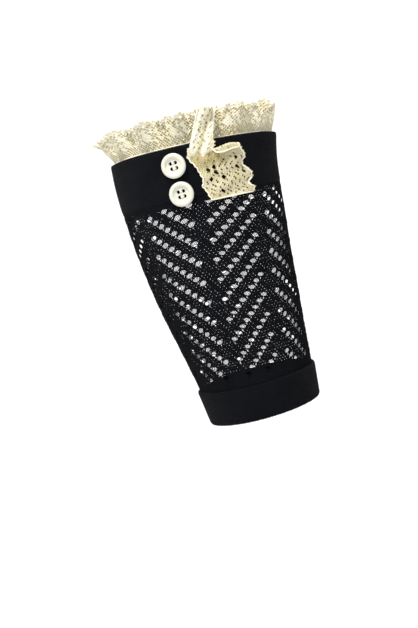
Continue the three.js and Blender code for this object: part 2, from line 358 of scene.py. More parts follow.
@dataclass
class MeshData:
    """Points, faces, texture coordinates and painted shade of a mesh that is being put together."""

    points: list[Array] = field(default_factory=list)
    faces: list[list[int]] = field(default_factory=list)
    uvs: list[Array] = field(default_factory=list)
    painted_shades: list[Array] = field(default_factory=list)
    count: int = 0

    def add(
        self,
        points: Array,
        faces: Array | list | None = None,
        uvs: Array | None = None,
        painted_shades: Array | None = None,
    ) -> None:
        """Adds a block of points, with faces that number them from 0.

        Args:
            points: Rows of x, y and z in millimetres.
            faces: Rows of point numbers, or nothing for none.
            uvs: One row of texture coordinates for each point.
            painted_shades: How much shade is painted on each point, from 0 to 1.
        """
        flat = points.reshape(-1, 3)
        self.points.append(flat)
        if faces is not None:
            self.faces.extend([[int(corner) + self.count for corner in face] for face in faces])
        self.uvs.append(np.zeros((len(flat), 2)) if uvs is None else uvs.reshape(-1, 2))
        self.painted_shades.append(np.zeros(len(flat)) if painted_shades is None else painted_shades.reshape(-1))
        self.count += len(flat)

    def build(self, name: str, material: Material) -> Piece:
        """Makes the object, smooth all over.

        Args:
            name: The object's name.
            material: Its only material.

        Returns:
            The new object, linked to the scene.
        """
        mesh = bpy.data.meshes.new(name)
        mesh.from_pydata((np.concatenate(self.points) * MM).tolist(), [], self.faces)
        corners = np.zeros(len(mesh.loops), dtype=np.int32)
        mesh.loops.foreach_get("vertex_index", corners)
        layer = mesh.uv_layers.new(name=UV_MAP)
        layer.data.foreach_set("uv", np.concatenate(self.uvs)[corners].ravel())
        # Painted shade goes into a point attribute that the lace shader reads
        depth = mesh.attributes.new(PAINTED_SHADE, "FLOAT", "POINT")
        depth.data.foreach_set("value", np.concatenate(self.painted_shades))
        mesh.shade_smooth()
        mesh.materials.append(material)
        mesh.update()
        piece = bpy.data.objects.new(name, mesh)
        bpy.context.scene.collection.objects.link(piece)
        return piece


def grid_faces(rows: int, columns: int, closed: bool) -> Array:
    """Squares of a grid of points whose columns run around a tube or a yarn.

    Args:
        rows: Points along.
        columns: Points across.
        closed: True where the last column joins the first.

    Returns:
        Rows of four point numbers.
    """
    across = np.arange(columns if closed else columns - 1)
    along = np.arange(rows - 1)[:, None]
    right = (across + 1) % columns
    square = [along * columns + across, (along + 1) * columns + across]
    square += [(along + 1) * columns + right, along * columns + right]
    return np.stack(np.broadcast_arrays(*square), axis=-1).reshape(-1, 4)


def yarn(path: Array, radius: float, sides: int = 6, closed: bool = False) -> tuple[Array, list[list[int]]]:
    """A round yarn along a path of points, with closed ends unless it is a ring.

    Args:
        path: Rows of x, y and z.
        radius: The yarn's radius.
        sides: Points around the yarn.
        closed: True for a ring.

    Returns:
        The points, and faces that number them.
    """
    if closed:
        ahead = np.roll(path, -1, axis=0) - np.roll(path, 1, axis=0)
    else:
        ahead = np.gradient(path, axis=0)
    ahead /= np.linalg.norm(ahead, axis=1, keepdims=True)
    up = np.where(np.abs(ahead[:, 2:]) < 0.9, [[0.0, 0.0, 1.0]], [[1.0, 0.0, 0.0]])
    side = np.cross(ahead, up)
    side /= np.linalg.norm(side, axis=1, keepdims=True)
    top = np.cross(side, ahead)
    turn = np.linspace(0, math.tau, sides, endpoint=False)
    ring = side[:, None] * np.cos(turn)[None, :, None] + top[:, None] * np.sin(turn)[None, :, None]
    points = (path[:, None] + ring * radius).reshape(-1, 3)
    rows = len(path)
    if closed:
        return points, (grid_faces(rows + 1, sides, True) % (rows * sides)).tolist()
    faces = grid_faces(rows, sides, True).tolist()
    faces.append(list(range(sides)))
    faces.append([(rows - 1) * sides + i for i in reversed(range(sides))])
    return points, faces


# A cell's corners and the middles of its sides from its own middle, in quarter cells
CELL_STEPS = np.array([(2, 0), (1, -1), (0, -2), (-1, -1), (-2, 0), (-1, 1), (0, 2), (1, 1)])


@dataclass
class DiamondNet:
    """A net of diamond cells with four-sided or eight-sided middles, each open or filled.

    A cell's corners lie one half column to its sides, and one row above and below it. Each level is a
    ring of points between edge and middle: its share of the way in and its share of the relief. A net
    that closes round a tube wraps after its number of half columns, and a flipped one looks outward
    where its rows run upward.
    """

    centres: Array
    size: Array
    drop: Array
    painted_shade: Array
    is_open: Array
    levels: tuple[tuple[float, float], ...] = ()
    wrap: int = 0
    flip: bool = False
    jitter: float = 0.0
    corners: int = 8
    corner_share: float = 0.8
    side_share: float = 0.877
    fade: float = 1.4
    shift: Callable[[Array], Array] | None = None

    def build(self, surface: Surface, relief: float, hollow: PaintedShadeMap) -> MeshData:
        """Places the net on a surface.

        Args:
            surface: Gives points for half columns, rows and a height.
            relief: How far the threads stand above the surface.
            hollow: Gives the painted shade of folds for half columns and rows.

        Returns:
            The mesh data.
        """
        steps = CELL_STEPS[:: len(CELL_STEPS) // self.corners]
        keys = self.centres[:, None] * 2 + steps[None]
        folded = keys.copy()
        if self.wrap:
            folded[..., 0] %= 2 * self.wrap
        unique, numbers = np.unique(folded.reshape(-1, 2), axis=0, return_inverse=True)
        numbers = numbers.reshape(keys.shape[:2])
        nodes = unique / 2
        moved = np.zeros(nodes.shape) if self.shift is None else self.shift(nodes)
        for axis, seed in enumerate((Seed.CORNER_ACROSS, Seed.CORNER_ALONG)):
            moved[:, axis] += chance(*unique.T, seed, -self.jitter / 2, self.jitter / 2)
        edge = keys / 2 + moved[numbers]
        middle = edge.mean(axis=1, keepdims=True)
        share = np.where(np.abs(steps).max(axis=1) == 2, self.corner_share, self.side_share)
        hole = middle + (edge - middle) * (self.size[:, None] * share)[..., None]
        data = MeshData()
        nodes = nodes + moved
        place = surface(nodes[:, 0], nodes[:, 1], np.full(len(nodes), relief))
        data.add(place, None, nodes * NET_UV, hollow(nodes[:, 0], nodes[:, 1]))
        rings = [numbers]
        for share_in, height in (*self.levels, (1.0, None)):
            spot = edge + (hole - edge) * share_in
            low = -relief * self.drop if height is None else np.full(len(spot), relief * height)
            lift = np.broadcast_to(low[:, None], spot.shape[:2])
            # Painted shade of folds, with more painted shade towards each cell's middle, where pits and holes
            # lie in shadow
            shade = hollow(spot[..., 0], spot[..., 1])
            shade = np.clip(shade + self.painted_shade[:, None] * share_in**self.fade, 0, 1)
            rings.append(data.count + np.arange(numbers.size).reshape(numbers.shape))
            data.add(surface(spot[..., 0], spot[..., 1], lift), None, spot * NET_UV, shade)
        turn = -1 if self.flip else 1
        for outer, inner in zip(rings, rings[1:]):
            faces = np.stack([outer, np.roll(outer, -1, 1), np.roll(inner, -1, 1), inner], axis=-1)
            data.faces.extend(faces.reshape(-1, 4)[:, ::turn].tolist())
        data.faces.extend(rings[-1][~self.is_open][:, ::turn].tolist())
        return data


# Finishes


def linear(colour: int) -> tuple[float, float, float, float]:
    """An sRGB hex colour as the linear values that shaders take.

    Args:
        colour: Red, green and blue as one hex number.

    Returns:
        Linear red, green, blue and full opacity.
    """
    parts = [((colour >> shift) & 255) / 255 for shift in (16, 8, 0)]
    red, green, blue = (p / 12.92 if p <= 0.04045 else ((p + 0.055) / 1.055) ** 2.4 for p in parts)
    return red, green, blue, 1.0


def add_node(
    tree: Tree,
    kind: str,
    inputs: Links | None = None,
    **settings: object,
) -> bpy.types.Node:
    """Adds a node to a material.

    Args:
        tree: The material's node tree.
        kind: The node's type name.
        inputs: Values or other nodes' outputs for its sockets, by name or number.
        settings: Its own properties.

    Returns:
        The node.
    """
    node = tree.nodes.new(kind)
    for name, value in settings.items():
        setattr(node, name, value)
    for name, value in (inputs or {}).items():
        if isinstance(value, Socket):
            tree.links.new(value, node.inputs[name])
        else:
            node.inputs[name].default_value = value
    return node


def mix(tree: Tree, share: Socket, first: object, second: object) -> Socket:
    """The blend of two colours, each a value or another node's output."""
    inputs = {0: share, 6: first, 7: second}
    return add_node(tree, "ShaderNodeMix", inputs, data_type="RGBA").outputs[2]


def noise(tree: Tree, place: Socket, scale: float, detail: float = 2.0, distortion: float = 0.0) -> Socket:
    """The strength of a cloudy pattern, from 0 to 1, its scale in clouds to a metre."""
    inputs = {"Vector": place, "Scale": scale, "Detail": detail, "Distortion": distortion}
    return add_node(tree, "ShaderNodeTexNoise", inputs).outputs[0]


def bump(tree: Tree, height: Socket, strength: float, depth: float) -> Socket:
    """The normals of a fine relief whose depth is in millimetres."""
    inputs = {"Strength": strength, "Distance": depth * MM, "Height": height}
    return add_node(tree, "ShaderNodeBump", inputs).outputs[0]


def new_material(name: str) -> tuple[Material, Tree]:
    """Makes an empty material.

    Args:
        name: The material's name.

    Returns:
        The material and its node tree.
    """
    material = bpy.data.materials.new(name)
    material.use_nodes = True
    material.node_tree.nodes.clear()
    return material, material.node_tree


def close_material(tree: Tree, inputs: Links) -> None:
    """Ends a material with its surface shader and output."""
    shader = add_node(tree, "ShaderNodeBsdfPrincipled", inputs)
    add_node(tree, "ShaderNodeOutputMaterial", {"Surface": shader.outputs[0]})


@dataclass(frozen=True)
class BlackCotton:
    """Black combed cotton with elastane, machine-knitted as fine jersey or as open pointelle.

    It is matt, with a faint sheen where fibres stand up, and rows of small V stitches in columns.
    """

    name: str
    yarn: int = 0x0B0C0F
    worn: int = 0x131418
    relief: float = 0.22
    roughness: float = 0.9
    up: float = 1.0

    def make(self) -> Material:
        """Builds the shader, with V stitches twice as wide as real ones, which would be too fine to show.

        Returns:
            The material.
        """
        material, tree = new_material(self.name)
        place = add_node(tree, "ShaderNodeNewGeometry").outputs["Position"]
        where = add_node(tree, "ShaderNodeUVMap", uv_map=UV_MAP).outputs[0]
        parts = add_node(tree, "ShaderNodeSeparateXYZ", {0: where})

        def step(operation: str, *values: object) -> Socket:
            """The result of one arithmetic step."""
            return add_node(tree, "ShaderNodeMath", dict(enumerate(values)), operation=operation).outputs[0]

        # Each leg of a V rises from the middle of its column to the side
        side = step("PINGPONG", parts.outputs[0], 0.5)
        row = step("MULTIPLY", parts.outputs[1], self.up)
        legs = step("SINE", step("MULTIPLY", step("MULTIPLY_ADD", side, 1.2, row), math.tau))
        columns = step("SINE", step("MULTIPLY", side, math.tau))
        loops = step("MULTIPLY_ADD", legs, 0.5, columns)
        height = step("MULTIPLY_ADD", noise(tree, place, 2200.0, 3.0), 0.6, loops)
        # Random tone from the noise, plus a painted highlight that lightens the tops of the stitches towards
        # the worn colour
        tone_and_highlight = step("MULTIPLY_ADD", loops, 0.2, noise(tree, place, 70.0, 3.0))
        finish = {
            "Base Color": mix(tree, tone_and_highlight, linear(self.yarn), linear(self.worn)),
            "Roughness": self.roughness,
            "Normal": bump(tree, height, 0.8, self.relief),
            "Sheen Weight": 0.008,
            "Sheen Roughness": 0.5,
            "Specular IOR Level": 0.04,
        }
        close_material(tree, finish)
        return material


@dataclass(frozen=True)
class UnbleachedCotton:
    """Soft twisted cotton thread in its natural cream, made up as lace.

    It is matt. Tan shade is painted into pits, folds and hollows from a point attribute, standing in for
    light that passes from thread to thread and warms each time.
    """

    name: str = "unbleached_cotton_lace"
    pale: int = 0xFCF8E4
    warm: int = 0xF5ECCB
    painted_shade_colour: int = 0xB6A873
    roughness: float = 0.85
    twist: float = 900.0

    def make(self) -> Material:
        """Builds the shader, with the thread's twist as ridges 0.4 mm apart, as coarse as real ones.

        Returns:
            The material.
        """
        material, tree = new_material(self.name)
        place = add_node(tree, "ShaderNodeNewGeometry").outputs["Position"]
        # Painted shade from the point attribute, 0 on open cloth and up to 1 in pits and folds
        depth = add_node(tree, "ShaderNodeAttribute", attribute_name=PAINTED_SHADE).outputs["Fac"]
        bands = {"Vector": place, "Scale": self.twist, "Distortion": 4.0, "Detail": 1.0}
        ridges = add_node(tree, "ShaderNodeTexWave", bands, bands_direction="DIAGONAL")
        patches = {0: noise(tree, place, 150.0, 4.0), "From Min": 0.4, "From Max": 0.7}
        spread = add_node(tree, "ShaderNodeMapRange", patches).outputs[0]
        cloth = mix(tree, spread, linear(self.pale), linear(self.warm))
        thread = {0: ridges.outputs["Fac"], 1: 0.4, 2: noise(tree, place, 1800.0, 3.0)}
        height = add_node(tree, "ShaderNodeMath", thread, operation="MULTIPLY_ADD").outputs[0]
        finish = {
            # Painted shade: the cream turns tan where the painted shade attribute is high
            "Base Color": mix(tree, depth, cloth, linear(self.painted_shade_colour)),
            "Roughness": self.roughness,
            "Normal": bump(tree, height, 0.6, 0.12),
            "Sheen Weight": 0.08,
            "Specular IOR Level": 0.2,
        }
        close_material(tree, finish)
        return material


@dataclass(frozen=True)
class PolyesterResin:
    """Ivory polyester resin, cast, turned and tumbled to a soft gloss.

    Faint swirls of the casting show as a change of tone, and fine turning marks soften the gloss.
    """

    name: str = "turned_polyester_resin"
    pale: int = 0xE1E0D3
    warm: int = 0xD4D1BF
    roughness: float = 0.3

    def make(self) -> Material:
        """Builds the shader.

        Returns:
            The material.
        """
        material, tree = new_material(self.name)
        place = add_node(tree, "ShaderNodeNewGeometry").outputs["Position"]
        swirl = noise(tree, place, 160.0, distortion=1.2)
        finish = {
            "Base Color": mix(tree, swirl, linear(self.pale), linear(self.warm)),
            "Roughness": self.roughness,
            "Normal": bump(tree, noise(tree, place, 1500.0), 0.15, 0.02),
            "Coat Weight": 0.3,
            "Coat Roughness": 0.15,
            "IOR": 1.52,
        }
        close_material(tree, finish)
        return material


@dataclass(frozen=True)
class StudioPaper:
    """Seamless white paper, matt and even."""

    name: str = "seamless_studio_paper"
    colour: int = 0xF8F8F8

    def make(self) -> Material:
        """Builds the shader.

        Returns:
            The material.
        """
        material, tree = new_material(self.name)
        close_material(tree, {"Base Color": linear(self.colour), "Roughness": 0.95})
        return material


# Sub-assemblies


def finish_piece(piece: Piece, slot: Slot, *replaced: str) -> Piece:
    """Lets a piece ride on the body, and hides the solids that it stands for.

    Args:
        piece: The new piece.
        slot: The record's slot for its finish; not used.
        replaced: Names of the solids that it replaces.

    Returns:
        The piece.
    """
    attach(piece, BODY)
    if replaced:
        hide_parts(*replaced)
    return piece


@dataclass(frozen=True)
class Eyelet:
    """One eyelet: column, row, distance down, half its width in columns, half its height, slant."""

    column: float
    row: int
    down: float
    width: float
    height: float
    slant: float


@dataclass
class PointelleNet:
    """The eyelet net between cuff and hem: fine open knit with lines of eyelets that slant both ways."""

    columns: int = 80
    half_columns: int = 6
    row_lines: int = 4
    first_line: int = -9
    last_line: int = 145
    relief: float = 0.14
    inset: float = 0.45
    front_pinhole: float = 0.29
    between_pinhole: float = 0.04
    back_pinhole: float = 0.67
    taper: int = 54
    hole_drop: float = 0.6
    below: float = 0.75
    below_lines: int = 3
    panel_columns: int = 8
    panel_pitch: int = 10
    margin: float = 1.5
    line_rows: int = 4
    first_row: int = -1
    last_row: int = 34
    row_first: float = 38.4
    row_pitch: float = 2.87
    row_growth: float = 0.0073
    front_start: float = -96.1
    twist: float = -0.13
    twist_from: float = 62.0
    length: float = 152.5
    eyelet_width: float = 1.22
    eyelet_top: float = 3.4
    eyelet_bottom: float = 3.0
    eyelet_slant: float = 0.6
    rising_height: float = 0.85
    roundness: float = 1.7
    least_reach: float = 0.2
    rim: float = 0.27
    rim_out: float = 0.14
    rim_lift: float = 0.1
    rim_points: int = 16
    rim_sides: int = 5

    def row_down(self, row: Array) -> Array:
        """The distance down of a row, whose stitches lie further apart towards the hem."""
        return self.row_first + self.row_pitch * row + self.row_growth * row**2

    def place(self, across: Array, down: Array, out: Array) -> Array:
        """Points of the net by columns around from the left side, distance down and height."""
        around = self.front_start + across * FULL_TURN / self.columns
        return TUBE.points(down, around + self.twist * (down - self.twist_from), out - self.inset)

    def eyelets(self) -> list[Eyelet]:
        """Lays out the panels, whose lines of eyelets rise and fall in turn.

        Returns:
            All eyelets, a little uneven in size.
        """
        found = []
        for panel in range(self.columns // self.panel_pitch):
            falls = panel % 2 == 1
            for column in range(self.panel_columns):
                drop = column if falls else self.panel_columns - 1 - column
                across = panel * self.panel_pitch + self.margin + column
                for row in range(self.first_row, self.last_row + 1):
                    if (row - drop) % self.line_rows:
                        continue
                    down = float(self.row_down(row))
                    height = self.eyelet_top + (self.eyelet_bottom - self.eyelet_top) * down / self.length
                    height *= chance(across, row, Seed.EYELET_HEIGHT, 0.9, 1.06)
                    height *= 1.0 if falls else self.rising_height
                    width = self.eyelet_width * chance(across, row, Seed.EYELET_WIDTH, 0.92, 1.04)
                    slant = -self.eyelet_slant if falls else self.eyelet_slant
                    found.append(Eyelet(across, row, down, width / 2, height / 2, slant))
        return found

    def aside(self, eyelet: Eyelet, across: Array) -> Array:
        """How many columns places lie to the side of an eyelet, the shorter way round."""
        return (across - eyelet.column + self.columns / 2) % self.columns - self.columns / 2

    def reach(self, eyelet: Eyelet, across: Array, down: Array) -> Array:
        """How far places are from an eyelet's middle.

        Args:
            eyelet: The eyelet.
            across: The places' columns.
            down: Their distances down.

        Returns:
            The distances, 1 on the eyelet's edge.
        """
        off = self.aside(eyelet, across)
        side = np.abs(off / eyelet.width) ** self.roundness
        end = np.abs((down - eyelet.down - eyelet.slant * off) / eyelet.height) ** self.roundness
        return (side + end) ** (1 / self.roundness)

    def inside(self, eyelets: list[Eyelet], centres: Array) -> dict[tuple[int, int], Eyelet]:
        """Finds the cells that make way for eyelets.

        Args:
            eyelets: The eyelets.
            centres: Half columns and lines of the cells' middles.

        Returns:
            Each cell whose middle lies inside an eyelet, with that eyelet.
        """
        across = centres[:, 0] / self.half_columns
        down = self.row_down(centres[:, 1] / self.row_lines)
        found = {}
        for eyelet in eyelets:
            near = np.flatnonzero(np.abs(down - eyelet.down) < 2 * eyelet.height)
            within = near[self.reach(eyelet, across[near], down[near]) < 1]
            found.update({tuple(centres[i]): eyelet for i in within})
        return found

    def snap(self, nodes: Array, gone: dict[tuple[int, int], Eyelet]) -> Array:
        """Moves of the corners beside removed cells on to the eyelets' edges.

        Args:
            nodes: Half columns and lines of the cells' corners.
            gone: The removed cells.

        Returns:
            One move for each corner.
        """
        moves = np.zeros(nodes.shape)
        for i, (across, line) in enumerate(nodes):
            if across % 1 or line % 1:
                continue
            beside = [(across + 1, line), (across - 1, line), (across, line + 1), (across, line - 1)]
            column, down = across / self.half_columns, self.row_down(line / self.row_lines)
            pulls = []
            for owner in {gone[cell] for cell in beside if cell in gone}:
                share = 1 / max(float(self.reach(owner, column, down)), self.least_reach) - 1
                lines = (down - owner.down) * self.row_lines / self.row_pitch
                pulls.append((share * self.aside(owner, column) * self.half_columns, share * lines))
            if pulls:
                moves[i] = np.mean(pulls, axis=0)
        return moves

    def pinholes(self, centres: Array, is_back: bool) -> Array:
        """Sizes the small holes, wider where the calf stretches the back of the net.

        Args:
            centres: Half columns and lines of the cells' middles.
            is_back: True for the half that lies on the calf.

        Returns:
            Each hole's share of its cell.
        """
        column, line = centres[:, 0] // 2, centres[:, 1]
        is_hole = (line % 2 == 0) & ((column + line // 2) % 2 == 0)
        size = np.where(is_hole, self.front_pinhole, self.between_pinhole)
        if is_back:
            half = self.columns * self.half_columns // 2
            edge = np.minimum(centres[:, 0] - half, 2 * half - centres[:, 0])
            size = size + (self.back_pinhole - size) * smooth_step(0, self.taper, edge)
        return size * chance(*centres.T, Seed.PINHOLE, 0.9, 1.1)

    def below_hole(self, eyelet: Eyelet) -> tuple[int, int]:
        """The cell of the larger small hole that lies below an eyelet."""
        side = 1 if eyelet.slant < 0 else -1
        return round(eyelet.column * self.half_columns) + side, eyelet.row * self.row_lines + self.below_lines

    def half(self, name: str, is_back: bool, replaced: str, material: Material) -> Piece:
        """Makes half of the net, of modelled loops with small holes between and rims round the eyelets.

        Args:
            name: The piece's name.
            is_back: True for the half that lies on the calf.
            replaced: The solid that it stands for.
            material: Its finish.

        Returns:
            The piece.
        """
        wales = self.columns * self.half_columns // 2
        first = wales if is_back else 0
        lines = np.arange(self.first_line, self.last_line + 1)
        grid = np.meshgrid(np.arange(first, first + wales), lines)
        centres = np.stack([part.ravel() for part in grid], axis=1)
        centres = centres[centres.sum(axis=1) % 2 == 1]
        low, high = first / self.half_columns, (first + wales) / self.half_columns
        eyelets = [eyelet for eyelet in self.eyelets() if low <= eyelet.column < high]
        gone = self.inside(eyelets, centres)
        centres = np.array([cell for cell in map(tuple, centres) if cell not in gone])
        size = self.pinholes(centres, is_back)
        under = {self.below_hole(eyelet) for eyelet in eyelets}
        is_under = np.array([tuple(cell) in under for cell in centres])
        size = np.where(is_under, np.maximum(size, self.below), size)
        net = DiamondNet(
            centres,
            size,
            drop=np.full(len(centres), self.hole_drop),
            painted_shade=np.zeros(len(centres)),
            is_open=np.full(len(centres), True),
            corners=4,
            corner_share=1.0,
            shift=lambda nodes: self.snap(nodes, gone),
        )
        data = net.build(
            lambda a, b, out: self.place(a / self.half_columns, self.row_down(b / self.row_lines), out),
            self.relief,
            lambda a, b: np.zeros(np.shape(a)),
        )
        self.add_rims(data, eyelets)
        log.info("%s: %d eyelets, %d small holes", name, len(eyelets), len(centres))
        return finish_piece(data.build(name, material), Slot.KNIT, replaced)

    def add_rims(self, data: MeshData, eyelets: list[Eyelet]) -> None:
        """Lays the yarn that bounds each eyelet around its edge.

        Args:
            data: The mesh data that takes up the yarns.
            eyelets: The eyelets.
        """
        turn = np.linspace(0, math.tau, self.rim_points, endpoint=False)
        power = self.roundness
        reach = (np.abs(np.cos(turn)) ** power + np.abs(np.sin(turn)) ** power) ** (1 / power)
        side, end = np.cos(turn) / reach, np.sin(turn) / reach
        for eyelet in eyelets:
            radius = TUBE.value("radius", np.array([eyelet.down]))[0]
            out = self.rim_out * self.columns / (math.tau * radius)
            off = (eyelet.width + out) * side
            down = eyelet.down + eyelet.slant * off + (eyelet.height + self.rim_out) * end
            path = self.place(eyelet.column + off, down, np.full(len(turn), self.rim_lift))
            data.add(*yarn(path, self.rim, self.rim_sides, closed=True))

    def build(self) -> list[Piece]:
        """Makes both halves of the net, which the leg stretches between cuff and hem.

        Returns:
            The two pieces.
        """
        material = BlackCotton("pointelle_knit_cotton", relief=0.12, up=0.5).make()
        pieces = [
            self.half("pointelle_front", False, "net_front", material),
            self.half("pointelle_back", True, "net_back", material),
        ]
        return pieces


@dataclass
class KnitBand:
    """A doubled band of jersey around the tube, with a row of edge stitches at its free edge."""

    name: str
    replaced: str
    corners: tuple[tuple[float, float], ...]
    edge: float
    flat: tuple[float, float]
    stitches: int = 240
    samples: int = 4
    bead: float = 0.34
    bead_reach: float = 1.6
    bead_lift: float = 0.5
    course: float = 1.43
    longest: float = 1.5

    def profile(self) -> Array:
        """Splits the straights of the closed profile into short lengths.

        Returns:
            Rows of distance down and distance out.
        """
        points = []
        for (down, out), (next_down, next_out) in zip(self.corners, self.corners[1:] + self.corners[:1]):
            count = max(1, round(math.hypot(next_down - down, next_out - out) / self.longest))
            for part in range(count):
                share = part / count
                points.append((down + (next_down - down) * share, out + (next_out - out) * share))
        return np.array(points)

    def build(self, material: Material) -> Piece:
        """Makes the band, its free edge uneven from the loops that turn there, two stitches each.

        Args:
            material: Its finish.

        Returns:
            The piece.
        """
        columns = self.stitches * self.samples
        around = np.arange(columns) * FULL_TURN / columns
        profile = self.profile()
        down, out = profile[:, :1], profile[:, 1:]
        near = np.clip(1 - np.abs(down - self.edge) / self.bead_reach, 0, 1) ** 2
        loop = around / FULL_TURN * self.stitches / 2
        uneven = chance(np.floor(loop), 0.0, Seed.EDGE_STITCH, 0.6, 1.4)
        bead = self.bead * near * np.abs(np.sin(math.pi * loop)) * uneven
        outward = np.sign(self.edge - profile[:, 0].mean())
        points = TUBE.points(down + outward * bead, around, out + self.bead_lift * bead)
        rows = len(profile)
        steps = np.hypot(*np.diff(np.vstack([profile, profile[:1]]), axis=0).T)
        length = np.concatenate([[0], steps.cumsum()])[:rows]
        across = np.broadcast_to(around / FULL_TURN * self.stitches, (rows, columns))
        along = np.broadcast_to(length[:, None] / self.course, (rows, columns))
        data = MeshData()
        faces = grid_faces(rows + 1, columns, True) % (rows * columns)
        data.add(points, faces, np.stack([across, along], axis=-1))
        piece = finish_piece(data.build(self.name, material), Slot.KNIT, self.replaced)
        log.info("%s: %d stitches round", self.name, self.stitches)
        return piece


def chart_cells(chart: tuple[str, ...], repeats: int) -> tuple[Array, list[Stitch]]:
    """The cells of a stretch of lace.

    Args:
        chart: The rows of its repeat.
        repeats: How many repeats lie side by side.

    Returns:
        The cells' middles in half columns and rows, and the stitch of each.
    """
    centres, stitches = [], []
    for row, marks in enumerate(chart):
        for column in range(repeats * len(marks)):
            centres.append((2 * column + row % 2, row))
            stitches.append(CHART_MARKS[marks[column % len(marks)]].value)
    return np.array(centres), stitches


def lace_net(centres: Array, stitches: list[Stitch], **options: object) -> DiamondNet:
    """A net of lace from its cells, as uneven as hand-fed cotton makes it.

    Args:
        centres: The cells' middles in half columns and rows.
        stitches: The stitch of each cell.
        options: Further fields of the net.

    Returns:
        The net.
    """
    uneven = chance(*centres.T, Seed.LACE_CELL, 0.85, 1.15)
    return DiamondNet(
        centres,
        np.minimum(np.array([stitch.size for stitch in stitches]) * uneven, 1.08),
        np.array([stitch.drop for stitch in stitches]),
        np.array([stitch.painted_shade for stitch in stitches]) * uneven,
        np.array([stitch.is_open for stitch in stitches]),
        levels=((0.45, 0.6),),
        jitter=0.3,
        **options,
    )


@dataclass
class LaceFrill:
    """The gathered lace at the top, sewn inside the cuff's edge, leaning out most on the left."""

    tuck: float = 5.0
    length: float = 20.0
    lean: float = 17.0
    lean_left: float = 14.0
    bend: float = 3.0
    waves: int = 16
    waves_shift: float = -1.68
    swing: float = 3.9
    swing_growth: float = 0.8
    drifts: tuple[Ripple, ...] = (Ripple(0.9, 2, shift=0.6), Ripple(0.5, 5))
    crumples: tuple[Ripple, ...] = (Ripple(0.5, 41, 0.35), Ripple(0.3, 73, -0.5))
    columns: int = 160
    scallops: int = 48
    scallop_depth: float = 1.5
    inset: float = 3.6
    relief: float = 0.42
    edge_yarn: float = 0.42
    flutters: int = 31
    flutters_shift: float = 0.7
    flutters_drift: Ripple = Ripple(1.6, 3)
    flutter_from: float = 0.55
    curl: float = 2.3
    curl_drop: float = 0.5
    trough_shade: float = 0.3
    curl_shade: float = 0.5
    footing: float = 0.5
    chart: tuple[str, ...] = RUFFLE_CHART

    def wave(self, around: Array) -> Array:
        """The gathers, uneven all the way round."""
        angle = np.radians(around)
        return np.sin(self.waves * angle + self.waves_shift + rippled(self.drifts, angle))

    def flutter(self, around: Array, along: Array) -> Array:
        """The short waves of the free edge, which fade out below it.

        Args:
            around: Degrees around.
            along: Distance along the cloth above the cuff's edge.

        Returns:
            How far the edge curls, from -1 to 1.
        """
        angle = np.radians(around)
        wave = np.sin(self.flutters * angle + self.flutters_shift + self.flutters_drift.at(angle))
        return smooth_step(self.flutter_from, 1.0, along / self.length) * wave

    def rise(self, along: Array) -> Array:
        """How freely the cloth swings, from 0 at the cuff to 1 at the scallops."""
        return (np.maximum(along, 0) / self.length) ** self.swing_growth

    def place(self, around: Array, along: Array, out: Array) -> Array:
        """Points of the frill, which turns out over the cuff's edge and swings in gathers.

        Args:
            around: Degrees around.
            along: Distance along the cloth above the cuff's edge.
            out: Height above the cloth's middle.

        Returns:
            One row of x, y and z for each point.
        """
        lean = np.radians(self.lean - self.lean_left * np.sin(np.radians(around)))
        free = np.maximum(along, 0)
        bent = free - self.bend * (1 - np.exp(-free / self.bend))
        swing = self.swing * self.wave(around) + rippled(self.crumples, np.radians(around), along)
        curl = self.curl * self.flutter(around, along)
        down = bent * (1 - np.cos(lean)) - along + self.curl_drop * np.maximum(curl, 0)
        stand = bent * np.sin(lean) + self.rise(along) * swing + curl - self.inset
        return TUBE.points(down, around, stand + out)

    def build(self, material: Material) -> list[Piece]:
        """Makes the frill as a modelled net of lace, with yarns along its footing and its scallops.

        Args:
            material: Its finish.

        Returns:
            The frill and its edging.
        """
        rows = len(self.chart)
        columns = len(self.chart[0])
        repeats = self.columns // columns
        centres, stitches = chart_cells(self.chart, repeats)
        half_columns = 2 * self.columns

        def along_at(half_column: Array, row: Array) -> Array:
            """Distance along the cloth, drawn in between the scallops.

            Args:
                half_column: Half columns round the frill.
                row: Rows of the chart.

            Returns:
                The distance above the cuff's edge.
            """
            level = (row + 1) / (rows + 1)
            scallop = np.abs(np.sin(math.pi * (half_column * self.scallops / half_columns + 0.25)))
            dip = self.scallop_depth * (1 - scallop) * smooth_step(0.6, 1.0, level)
            return (self.tuck + self.length) * level - self.tuck - dip

        def surface(half_column: Array, row: Array, out: Array) -> Array:
            """Points by half column and row of the chart."""
            return self.place(half_column * FULL_TURN / half_columns, along_at(half_column, row), out)

        def hollow(half_column: Array, row: Array) -> Array:
            """Shade in the troughs between gathers, deepest near the scallops.

            Args:
                half_column: Half columns round the frill.
                row: Rows of the chart.

            Returns:
                The shade, from 0 to 1.
            """
            around, along = half_column * FULL_TURN / half_columns, along_at(half_column, row)
            trough = self.trough_shade * np.clip(-self.wave(around), 0, 1) ** 3 * self.rise(along) ** 1.5
            return trough + self.curl_shade * np.clip(-self.flutter(around, along), 0, 1) ** 2

        net = lace_net(centres, stitches, wrap=half_columns, flip=True)
        data = net.build(surface, self.relief, hollow)
        across = np.arange(0, half_columns, 0.25)
        picots = rows - 0.5 + 0.5 * np.cos(math.pi * (across - (rows - 1) % 2))
        around = np.arange(0, FULL_TURN, 1.5)
        top = surface(across, picots, np.zeros(len(across)))
        foot = self.place(around, np.full(len(around), self.footing), np.full(len(around), self.relief))
        yarns = MeshData()
        for path in (top, foot):
            yarns.add(*yarn(path, self.edge_yarn, closed=True))
        edging = finish_piece(yarns.build("lace_ruffle_edging", material), Slot.LACE)
        piece = finish_piece(data.build("lace_ruffle", material), Slot.LACE, "lace_frill")
        edge = self.place(around, np.full(len(around), self.length), np.zeros(len(around)))
        return [piece, edging]


@dataclass(frozen=True)
class TabRow:
    """A line across the tab: distance below the cuff's edge, and both edges in degrees."""

    down: float
    left: float
    right: float


